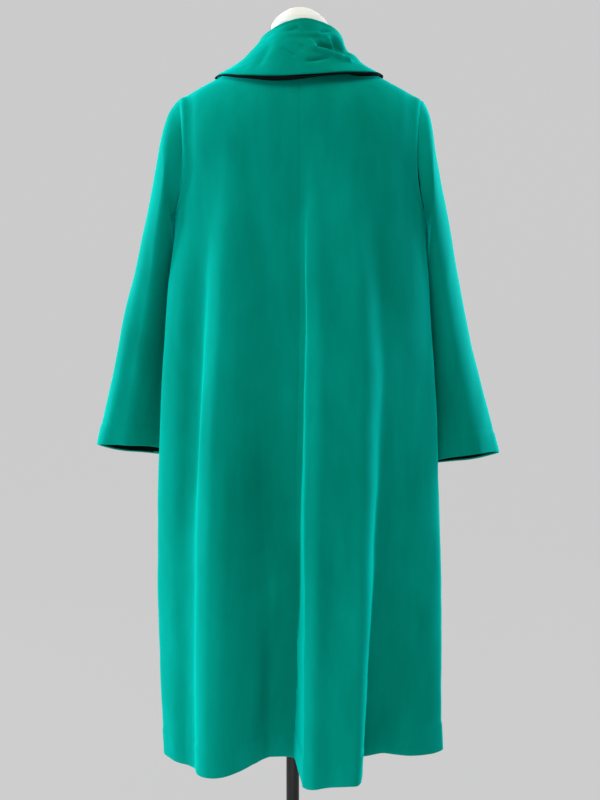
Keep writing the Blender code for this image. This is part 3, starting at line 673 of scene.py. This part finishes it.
# along the sleeve, outer x and z, inner x and z, middle of the depth, half the depth
sleeve = {
    "leftSections": (
        (0.00, 0.204, 1.356, 0.2075, 1.160, 0.000, 0.075),
        (0.10, 0.2190, 1.330, 0.2125, 1.133, -0.002, 0.077),
        (0.25, 0.2385, 1.250, 0.2090, 1.078, -0.010, 0.077),
        (0.45, 0.2620, 1.143, 0.2130, 0.998, -0.021, 0.072),
        (0.70, 0.2985, 0.990, 0.2170, 0.893, -0.032, 0.066),
        (1.00, 0.3470, 0.7910, 0.2240, 0.776, -0.045, 0.056),
    ),
    "rightSections": (
        (0.00, 0.204, 1.356, 0.2075, 1.160, 0.000, 0.075),
        (0.10, 0.2145, 1.330, 0.2125, 1.133, -0.002, 0.077),
        (0.25, 0.2300, 1.250, 0.2105, 1.078, -0.012, 0.075),
        (0.45, 0.2520, 1.143, 0.2150, 0.998, -0.026, 0.069),
        (0.70, 0.2840, 0.990, 0.2180, 0.890, -0.037, 0.063),
        (1.00, 0.3400, 0.7770, 0.2200, 0.760, -0.045, 0.056),
    ),
    # angle, width, how far out, growth towards the cuff
    "leftFolds": ((36, 34, 0.013, 1.6), (130, 50, -0.034, 0.45), (250, 40, 0.008, 1.5),
                  (300, 36, -0.008, 1.3)),
    "rightFolds": ((84, 42, 0.011, 1.6), (150, 30, 0.005, 1.5), (20, 30, -0.004, 1.5),
                   (245, 40, 0.007, 1.4), (295, 36, -0.007, 1.2)),
    "cut": (0.56, 0.63, 0.178),
    "rows": 150,
    "columns": 132,
    "cuffDrop": 0.024,
    "cuffDepth": 0.038,
    "cuffStep": 0.006,
    "cuffGroove": 0.0005,
    "cuffPucker": 0.0005,
    "cuffBand": (0.012, 0.020),    # middle and width of the puckers, up from the cuff
    "headPucker": 0.0004,
    "headBand": (0.008, 0.012),
    "headBlend": 0.14,
    "headHold": 0.045,        # how far the armhole's own thickness direction is kept
    "swell": (0.0014, 0.13, 21),
    "smallSwell": (0.0003, 0.05, 31),
    "calmDepth": 0.04,
}


def sleevePoint(side, along, angle):
    word = "left" if side > 0 else "right"
    sections = sleeve[word + "Sections"]
    outerX, outerZ, innerX, innerZ, middleY, halfDepth = readTable(sections, along)
    a = np.radians(angle)
    x = (outerX + innerX) / 2 + np.cos(a) * (outerX - innerX) / 2
    z = (outerZ + innerZ) / 2 + np.cos(a) * (outerZ - innerZ) / 2
    y = middleY + halfDepth * np.sin(a)
    for at, width, depth, growth in sleeve[word + "Folds"]:
        offset = (angle - at + 180) % 360 - 180
        y = y + np.copysign(1, np.sin(a)) * depth * along**growth * crest(offset, 4, width, width)
    z = z - sleeve["cuffDrop"] * along**6 * (1 - np.sin(a)) / 2
    return stack(side * x, y, z)


def makeSleeve(side):
    word = "left" if side > 0 else "right"
    rows = crowded(sleeve["rows"], (0.0006, 0.002, 0.005, 0.010), (0.0009, 0.002, 0.0036, 0.009))
    turns = np.arange(sleeve["columns"]) * 360 / sleeve["columns"]
    along, angle = np.meshgrid(rows, turns, indexing="ij")
    base = sleevePoint(side, along, angle)
    # the armhole is where the body's edge is, and the sleeve's head blends from it
    turn = angle[0]
    share = np.where(turn <= 180, turn, 360 - turn) / 180
    onBack = bodyPoint(side, "back", np.ones_like(share), share)[0]
    onFront = bodyPoint(side, "front", np.ones_like(share), share)[0]
    ring = np.where((turn <= 180)[:, None], onBack, onFront)
    bodyWay, sleeveWay = armholeWays(side, np.radians(turn))
    shift = 2 * coat["gap"] + coat["thickness"] / 2 * side * (bodyWay[:, 0] - sleeveWay[:, 0])
    ring = ring + np.stack([side * shift, 0 * shift, 0 * shift], axis=-1)
    blend = (1 - soften(along / sleeve["headBlend"]))[..., None]
    base = base + blend * (ring - sleevePoint(side, np.zeros_like(turn), turn))[None]
    axis = base.mean(axis=1, keepdims=True)
    normal = gridNormals(base, 1, closed=True)
    flip = 1 if ((base - axis) * normal).sum(-1).mean() > 0 else -1
    normal = normal * flip
    down = arcAlong(base, 0)
    toHead, toCuff = down, down[-1:] - down
    turnUp = soften((sleeve["cuffDepth"] - toCuff) / sleeve["cuffStep"])
    calm = soften(toHead / sleeve["calmDepth"])
    nearCuff, nearHead = (np.exp(-((distance - middle) / width) ** 2)
                          for distance, (middle, width) in ((toCuff, sleeve["cuffBand"]),
                                                            (toHead, sleeve["headBand"])))
    pucker = nearCuff * swell(base * np.array([1.0, 1.0, 0.2]), 0.020, 8)
    headPucker = swell(base, 0.024, 9) * nearHead
    fromCuff = (toCuff - sleeve["cuffDepth"]) / bodyPanels["grooveWidth"]
    out = (swelling(base, sleeve["swell"], calm, side)
           + swelling(base, sleeve["smallSwell"], calm)
           - bodyPanels["seamRoll"] * np.exp(-toHead / bodyPanels["seamWidth"])
           - sleeve["cuffGroove"] * np.exp(-fromCuff ** 2)
           + bodyPanels["hemRise"] * turnUp + sleeve["cuffPucker"] * pucker
           + sleeve["headPucker"] * headPucker)
    middle = base + normal * out[..., None]
    thick = gridNormals(middle, flip, closed=True)
    hold = np.clip(1 - along / sleeve["headHold"], 0, 1)[..., None]
    thick = unit((1 - hold) * thick + hold * sleeveWay[None])
    half = np.full(along.shape, coat["thickness"] / 2) + coat["turnedThickness"] * turnUp
    half = np.minimum(half, roundEdge(toCuff, half.max()))
    # inner faces past the cuff's turned-in roll take the near-black inner material, painted shade
    # inside the cuff
    piece = clothShell("sleeve" + word.capitalize(), middle, thick, half,
                       (coatVelvet, backingWithPaintedShade), toCuff > bodyPanels["edgeRoll"], closed=True)
    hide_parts("sleeve_" + word)
    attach(piece, "root")


for side in (1, -1):
    makeSleeve(side)
print("sleeves set in")

# angle round the neck, fold radius and height, free edge's radius and height, bow of the fall
collar = {
    "sections": (
        (-174, 0.086, 1.413, 0.140, 1.317, 0.006),
        (-150, 0.084, 1.418, 0.147, 1.343, 0.004),
        (-120, 0.077, 1.440, 0.144, 1.3815, 0.003),
        (-105, 0.073, 1.4485, 0.138, 1.3955, -0.001),
        (-90, 0.071, 1.4560, 0.134, 1.3982, -0.006),
        (-70, 0.069, 1.4640, 0.130, 1.3960, -0.007),
        (-45, 0.066, 1.4740, 0.121, 1.3920, -0.004),
        (-10, 0.064, 1.4800, 0.114, 1.3855, 0.005),
        (20, 0.064, 1.4760, 0.115, 1.3830, 0.006),
        (50, 0.066, 1.4640, 0.123, 1.3870, -0.001),
        (70, 0.067, 1.4570, 0.131, 1.3940, -0.004),
        (90, 0.068, 1.4510, 0.137, 1.3970, -0.004),
        (105, 0.071, 1.4450, 0.140, 1.3945, 0.001),
        (120, 0.076, 1.438, 0.145, 1.3805, 0.003),
        (150, 0.084, 1.421, 0.147, 1.343, 0.004),
        (174, 0.086, 1.413, 0.140, 1.317, 0.006),
    ),
    # angle, place down the fall, width round, width down, lean, height
    "drapes": (
        (-62, 0.30, 46, 0.13, 0.0045, -0.0070),
        (-58, 0.50, 50, 0.11, 0.0050, 0.0028),
        (-12, 0.28, 30, 0.12, -0.004, -0.0035),
        (40, 0.42, 40, 0.16, -0.003, 0.0030),
        (130, 0.45, 40, 0.16, 0.003, 0.0040),
        (-140, 0.50, 36, 0.15, -0.003, 0.0040),
    ),
    # where the fall is pinched at the back: x, height, half length, half width, tilt, how far out
    "pinches": (
        (-0.0198, 1.4340, 0.010, 0.0032, 61, 0.0032),
        (-0.0499, 1.4200, 0.029, 0.0036, 17, 0.0065),
        (-0.0475, 1.4420, 0.008, 0.0026, 68, 0.0038),
        (-0.0640, 1.4240, 0.019, 0.0026, 42, 0.0050),
        (-0.0630, 1.4350, 0.017, 0.0056, 50, -0.0230),
        (-0.0440, 1.4310, 0.016, 0.0044, 22, -0.0200),
        (-0.0008, 1.4640, 0.010, 0.0024, 63, 0.0024),
        (0.0095, 1.4620, 0.010, 0.0040, 158, -0.0026),
        (-0.0396, 1.4590, 0.009, 0.0034, 160, -0.0028),
        (-0.0080, 1.4520, 0.030, 0.0040, 178, 0.0022),
        (0.0174, 1.4210, 0.012, 0.0036, 36, -0.0030),
        (-0.0032, 1.4280, 0.006, 0.0050, 90, -0.0026),
        (-0.0277, 1.4100, 0.019, 0.0042, 166, -0.0048),
        (0.0560, 1.4200, 0.020, 0.0060, 118, -0.0020),
    ),
    "pinchLimit": 0.0115,     # so that no hollow reaches the stand or the shoulder
    # painted shadow below the edge: a near-black strip reaching out under the fall's edge, standing in
    # for the shadow gap there: angle, how far, slope
    "shadowStripUnderEdge": ((-180, 0.0015, 60), (-110, 0.0030, 45), (-85, 0.0042, 8), (-50, 0.0050, 34),
                  (-20, 0.0050, 62), (2, 0.0085, 66), (20, 0.0095, 62), (36, 0.0070, 50),
                  (50, 0.0050, 42), (85, 0.0050, 28), (110, 0.0030, 45), (180, 0.0015, 60)),
    "cut": (0.87, 0.19, 0.092),
    "thickness": 0.0030,
    "edgeThickness": 0.0046,
    # thickness of the painted shadow strip under the edge
    "shadowStripThickness": 0.0018,
    "swell": (0.0008, 0.06, 41),
    "smallSwell": (0.0002, 0.02, 42),
    "calmDepth": 0.03,
    "edgeCalm": 0.02,
    "edgeReach": 0.03,        # how far in from its edge the fall is thicker
    "standLift": 0.0020,
    "foldRadius": 0.0045,
    "columns": 330,
    "standRows": 12,
    "turnRows": 8,
    "fallRows": 72,
    # rows of the painted shadow strip under the edge
    "shadowStripRows": 6,
}


def necklineFoot(s):
    part = np.abs(s) <= 1
    share = np.where(part, np.abs(s), 2 - np.abs(s))
    side = np.where(s >= 0, 1, -1)
    back = topPoint(side, "back", share * coat["backNeck"]["share"])
    front = topPoint(side, "front", share * coat["frontNeck"]["share"])
    return [np.where(part, b, f) for b, f in zip(back, front)]


# The collar's points, by stage: up the stand, over the fold, down the fall, out under its edge as a
# strip of painted shadow
def collarPoint(s, stage, f):
    x, y, z = necklineFoot(s)
    a = np.arctan2(x, y)
    angle = np.degrees(a)
    foldR, foldZ, edgeR, edgeZ, bow = readTable(collar["sections"], angle)
    low = necklineFoot(np.maximum(s - 0.05, -2))
    high = necklineFoot(np.minimum(s + 0.05, 2))
    steep = np.hypot(1, (high[2] - low[2]) / np.hypot(high[0] - low[0], high[1] - low[1]))
    footR, footZ = np.hypot(x, y), z + collar["standLift"] * steep
    radius = collar["foldRadius"]
    foldR, foldZ = foldR - radius, foldZ - radius
    turn = np.radians(180 - 180 * f)
    run, drop = edgeR - foldR - radius, edgeZ - foldZ
    length = np.hypot(run, drop)
    lift = bow * np.sin(np.pi * np.where(stage == 3, 1, f))
    for at, down, wide, deep, lean, height in collar["drapes"]:
        near = crest(angle - at, 2, wide, wide)
        lift = lift + height * near * soften(1 - np.abs(f - down - lean * (angle - at)) / (2 * deep))
    # stage 3 is the painted shadow strip, reaching out below the fall's edge
    reach, slope = readTable(collar["shadowStripUnderEdge"], angle)
    under = np.where(stage == 3, f * reach, 0)
    f = np.where(stage == 3, 1, f)
    r = np.where(stage == 0, footR + (foldR - radius - footR) * soften(f),
                 np.where(stage == 1, foldR + radius * np.cos(turn),
                          foldR + radius + run * f - drop / length * lift))
    h = np.where(stage == 0, footZ + (foldZ - footZ) * f,
                 np.where(stage == 1, foldZ + radius * np.sin(turn),
                          foldZ + drop * f + run / length * lift))
    r, h = r + under * np.cos(np.radians(slope)), h - under * np.sin(np.radians(slope))
    return stack(r * np.sin(a), r * np.cos(a), h)


# The small gathered folds on the back of the collar
def pinchDepth(points):
    total = np.zeros(points.shape[:-1])
    for x, z, long, wide, tilt, out in collar["pinches"]:
        dx, dz = points[..., 0] - x, points[..., 2] - z
        c, d = math.cos(math.radians(tilt)), math.sin(math.radians(tilt))
        total += out * np.exp(-((dx * c + dz * d) / long) ** 4 - ((dz * c - dx * d) / wide) ** 2)
    most = collar["pinchLimit"]
    total = np.where(total < 0, most * np.tanh(total / most), total)
    return total * soften(points[..., 1] / 0.02)


def makeCollar():
    ends = (0.0008, 0.0022, 0.004, 0.008)
    s = 4 * crowded(collar["columns"], ends) - 2
    stand = crowded(collar["standRows"], (0.012, 0.03), (0.5,))
    turn = np.linspace(0, 1, collar["turnRows"] + 2)[1:-1]
    fall = crowded(collar["fallRows"], (0.0,), (0.005, 0.010, 0.0205))
    under = np.linspace(0, 1, collar["shadowStripRows"] + 1)[1:]
    stage = np.concatenate([0 * stand, 0 * turn + 1, 0 * fall + 2, 0 * under + 3])
    f = np.concatenate([stand, turn, fall, under])
    stageGrid, sGrid = np.meshgrid(stage, s, indexing="ij")
    fGrid = np.meshgrid(f, s, indexing="ij")[0]
    base = collarPoint(sGrid, stageGrid, fGrid)
    normal = gridNormals(base, 1)
    flip = 1 if normal[len(f) // 2, len(s) // 2, 1] > 0 else -1
    normal = normal * flip
    down = arcAlong(base, 0)
    around = arcAlong(base, 1)
    edgeRow = len(f) - len(under) - 1
    toEdge = np.maximum(down[edgeRow] - down, 0)
    toEnd = np.minimum(around, around[:, -1:] - around)
    calm = soften(down / collar["calmDepth"]) * soften(toEdge / collar["edgeCalm"])
    uneven = swelling(base, collar["swell"]) + swelling(base, collar["smallSwell"])
    out = calm * uneven + pinchDepth(base) * (stageGrid == 2) * soften(fGrid / 0.12)
    middle = base + normal * out[..., None]
    # the fall and the painted shadow strip under it have normals of their own, so that the edge between
    # stays crisp
    thick = np.concatenate([gridNormals(middle[:edgeRow + 1], flip),
                            gridNormals(middle[edgeRow:], flip)[1:]])
    swollen = soften(1 - toEdge / collar["edgeReach"]) * (stageGrid == 2)
    half = (collar["thickness"] + (collar["edgeThickness"] - collar["thickness"]) * swollen) / 2
    half = np.where(stageGrid < 3, np.minimum(half, roundEdge(toEdge, half.max())),
                    collar["shadowStripThickness"] / 2 * np.sqrt(np.clip(1 - fGrid**4, 0.05, 1)))
    half = np.minimum(half, roundEdge(toEnd, half.max()))
    # the strip's rows take the near-black material on both faces, painting the shadow under the
    # collar's edge
    piece = clothShell("collarDraped", middle, thick, half, (coatVelvet, backingWithPaintedShade),
                       stageGrid == 3, paintedShadowRows=len(under))
    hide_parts("collar")
    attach(piece, "root")


makeCollar()
print("collar draped")

# height, half width, half depth, middle of the depth
dressForm = {
    "sections": (
        (0.760, 0.158, 0.100, 0.004),
        (0.800, 0.168, 0.107, 0.004),
        (0.860, 0.170, 0.108, 0.002),
        (0.940, 0.150, 0.097, -0.002),
        (1.020, 0.124, 0.084, -0.004),
        (1.080, 0.130, 0.090, -0.005),
        (1.160, 0.152, 0.106, -0.008),
        (1.220, 0.160, 0.109, -0.008),
        (1.280, 0.168, 0.102, -0.004),
        (1.309, 0.178, 0.088, 0.000),
        (1.344, 0.1835, 0.066, 0.000),
        (1.3663, 0.1790, 0.048, 0.000),
        (1.3794, 0.1535, 0.046, 0.000),
        (1.3920, 0.1285, 0.0445, 0.000),
        (1.4048, 0.1035, 0.043, 0.000),
        (1.4170, 0.0785, 0.041, 0.000),
        (1.4270, 0.0600, 0.045, 0.000),
        (1.4430, 0.0530, 0.048, 0.000),
        (1.4660, 0.0485, 0.048, 0.000),
        (1.4810, 0.0470, 0.0475, 0.000),
        (1.4905, 0.0405, 0.0410, 0.000),
        (1.4995, 0.0300, 0.0305, 0.000),
        (1.5060, 0.0190, 0.0195, 0.000),
        (1.5090, 0.0090, 0.0090, 0.000),
    ),
    "roundness": 2.2,
    "segments": 128,
    "rings": 230,
    "socket": 0.0113,
    "socketDepth": 0.24,
    "turnIn": (0.02, 0.3, 0.7, 1.0),    # steps across the underside, from its rim to the socket
    "sharpAngle": 50,
}


def makeForm():
    heights = [row[0] for row in dressForm["sections"]]
    steps = np.interp(np.linspace(0, len(heights) - 1, dressForm["rings"]),
                      np.arange(len(heights)), heights)
    angles = np.arange(dressForm["segments"]) * 2 * np.pi / dressForm["segments"]
    z, a = np.meshgrid(steps, angles, indexing="ij")
    table = np.array(dressForm["sections"])
    width, depth, middle = (np.interp(z, table[:, 0], table[:, k]) for k in (1, 2, 3))
    power = 2 / dressForm["roundness"]
    x = width * np.copysign(np.abs(np.cos(a)) ** power, np.cos(a))
    y = middle + depth * np.copysign(np.abs(np.sin(a)) ** power, np.sin(a))
    surface = stack(x + coat["offset"], y, z)
    # the underside turns in to the socket that the pole stands in
    low = surface[0]
    centre = np.array([0.0, 0.0, heights[0]])
    mouth = centre + dressForm["socket"] * stack(np.cos(angles), np.sin(angles), 0 * angles)
    hole = mouth + np.array([0.0, 0.0, dressForm["socketDepth"]])
    under = [low + (mouth - low) * f for f in dressForm["turnIn"]]
    grid = np.concatenate([np.stack([hole] + under[::-1]), surface])
    count, around = grid.shape[:2]
    index = np.arange(count * around).reshape(count, around)
    index = np.concatenate([index, index[:, :1]], axis=1)
    corners = (index[:-1, :-1], index[:-1, 1:], index[1:, 1:], index[1:, :-1])
    quads = np.stack(corners, axis=-1).reshape(-1, 4)
    faces = quads.tolist() + [index[0, :-1][::-1].tolist(), index[-1, :-1].tolist()]
    mesh = bpy.data.meshes.new("formTorso")
    mesh.from_pydata(grid.reshape(-1, 3).tolist(), [], faces)
    mesh.shade_smooth()
    mesh.set_sharp_from_angle(angle=math.radians(dressForm["sharpAngle"]))
    mesh.materials.append(whiteJersey)
    piece = bpy.data.objects.new("formTorso", mesh)
    bpy.context.scene.collection.objects.link(piece)
    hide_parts("form_torso")
    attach(piece, "root")


makeForm()
for name in ("pole", "pole_flange", "base_plate"):
    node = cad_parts[name]
    node.data.materials.clear()
    node.data.materials.append(blackPaint)
print("dress form and stand finished")

studio = {
    "cameraPlace": (-0.0125, 2.4, 1.05),
    "cameraAim": (-0.0125, 0.0, 0.86),
    "focalPixels": 1428,
    "pictureHeight": 800,
    "sensor": 36.0,
    "farthestSeen": 60,
    "air": 0.17,
    "airColour": (1.0, 1.0, 0.93, 1.0),
    # place, size, power, blue
    "lights": (
        ((2.95, -0.6, 1.35), 1.0, 60, 1.14),
        ((2.6, -1.6, 1.3), 1.2, 34, 1.14),
        ((2.8, 1.0, 1.0), 1.2, 9, 1.10),
        ((1.7, 0.9, 0.25), 0.8, 8, 1.06),
        ((0.1, 1.15, 0.04), 0.8, 7, 1.06),
        ((0.0, 0.5, 3.3), 1.5, 33, 0.92),
        ((-1.5, -0.6, 1.25), 0.8, 8, 1.25),
        ((-0.80, -0.25, 0.95), 0.3, 1.7, 1.25),
        ((-1.8, -2.4, 1.4), 1.2, 19, 1.10),
    ),
    "lightsAimAt": (0.0, 0.0, 0.9),
    "paper": (0.02, 0.02, 0.02),
    "paperGlow": 0.588,
    "paperSeen": 0.604,
    "paperNap": (1.5, 8.0, 500.0),
    "paperRoughness": 0.95,
    "paperShade": 0.995,
    "sweep": {"halfWidth": 11.0, "front": 9.0, "bend": -3.0, "radius": 1.5, "top": 8.0, "steps": 12},
}


def makeStudio():
    scene = bpy.context.scene
    camera = bpy.data.objects.new("camera", bpy.data.cameras.new("camera"))
    scene.collection.objects.link(camera)
    place, aim = Vector(studio["cameraPlace"]), Vector(studio["cameraAim"])
    camera.location = place
    camera.rotation_euler = (aim - place).to_track_quat("-Z", "Y").to_euler()
    camera.data.sensor_width = studio["sensor"]
    camera.data.lens = studio["focalPixels"] / studio["pictureHeight"] * studio["sensor"]
    camera.data.clip_end = studio["farthestSeen"]
    scene.camera = camera
    for i, (where, size, power, blue) in enumerate(studio["lights"]):
        light = bpy.data.objects.new(f"softbox{i}", bpy.data.lights.new(f"softbox{i}", "AREA"))
        light.data.shape = "DISK"
        light.data.size = size
        light.data.energy = power
        light.data.color = (1, 1, blue)
        light.visible_camera = False
        light.location = where
        ray = Vector(studio["lightsAimAt"]) - Vector(where)
        light.rotation_euler = ray.to_track_quat("-Z", "Y").to_euler()
        scene.collection.objects.link(light)
    world = bpy.data.worlds.new("studioAir")
    world.use_nodes = True
    tree = world.node_tree
    air = tree.nodes["Background"]
    air.inputs["Strength"].default_value = studio["air"]
    # the paper's own grey is all that shows past its edges
    seen = addNode(tree, "ShaderNodeBackground", Strength=studio["paperSeen"])
    choice = addNode(tree, "ShaderNodeMixShader")
    rays = addNode(tree, "ShaderNodeLightPath")
    air.inputs["Color"].default_value = studio["airColour"]
    seen.inputs["Color"].default_value = (1, 1, 1, 1)
    tree.links.new(rays.outputs["Is Camera Ray"], choice.inputs["Fac"])
    tree.links.new(air.outputs["Background"], choice.inputs[1])
    tree.links.new(seen.outputs["Background"], choice.inputs[2])
    tree.links.new(choice.outputs["Shader"], tree.nodes["World Output"].inputs["Surface"])
    scene.world = world
    scene.view_settings.view_transform = "Standard"


def makeBackdrop():
    # one sweep of paper: floor in front, rising to a wall behind
    sweep = studio["sweep"]
    radius = sweep["radius"]
    profile = [(sweep["front"], 0.0)]
    for k in range(sweep["steps"] + 1):
        a = math.radians(90 * k / sweep["steps"])
        profile.append((sweep["bend"] - radius * math.sin(a), radius - radius * math.cos(a)))
    profile.append((sweep["bend"] - radius, sweep["top"]))
    points = [(x, y, z) for x in (-sweep["halfWidth"], sweep["halfWidth"]) for y, z in profile]
    count = len(profile)
    faces = [(k, k + 1, k + 1 + count, k + count) for k in range(count - 1)]
    mesh = bpy.data.meshes.new("paperSweep")
    mesh.from_pydata(points, [], faces)
    mesh.shade_smooth()
    material, tree, shader, place = newMaterial("paleGreyPaper")
    nap = useNap(tree, napGroup, place, studio["paperNap"])
    pale = studio["paper"]
    shaded = tuple(c * studio["paperShade"] for c in pale)
    colour = colourRamp(tree, nap.outputs["Lie"], [(0.3, shaded), (0.7, pale)])
    tree.links.new(colour, shader.inputs["Base Color"])
    shader.inputs["Roughness"].default_value = studio["paperRoughness"]
    shader.inputs["Specular IOR Level"].default_value = 0.0
    shader.inputs["Emission Color"].default_value = (1, 1, 1, 1)
    shader.inputs["Emission Strength"].default_value = studio["paperGlow"]
    mesh.materials.append(material)
    paper = bpy.data.objects.new("paperSweep", mesh)
    bpy.context.scene.collection.objects.link(paper)


makeStudio()
makeBackdrop()
print("studio lit")
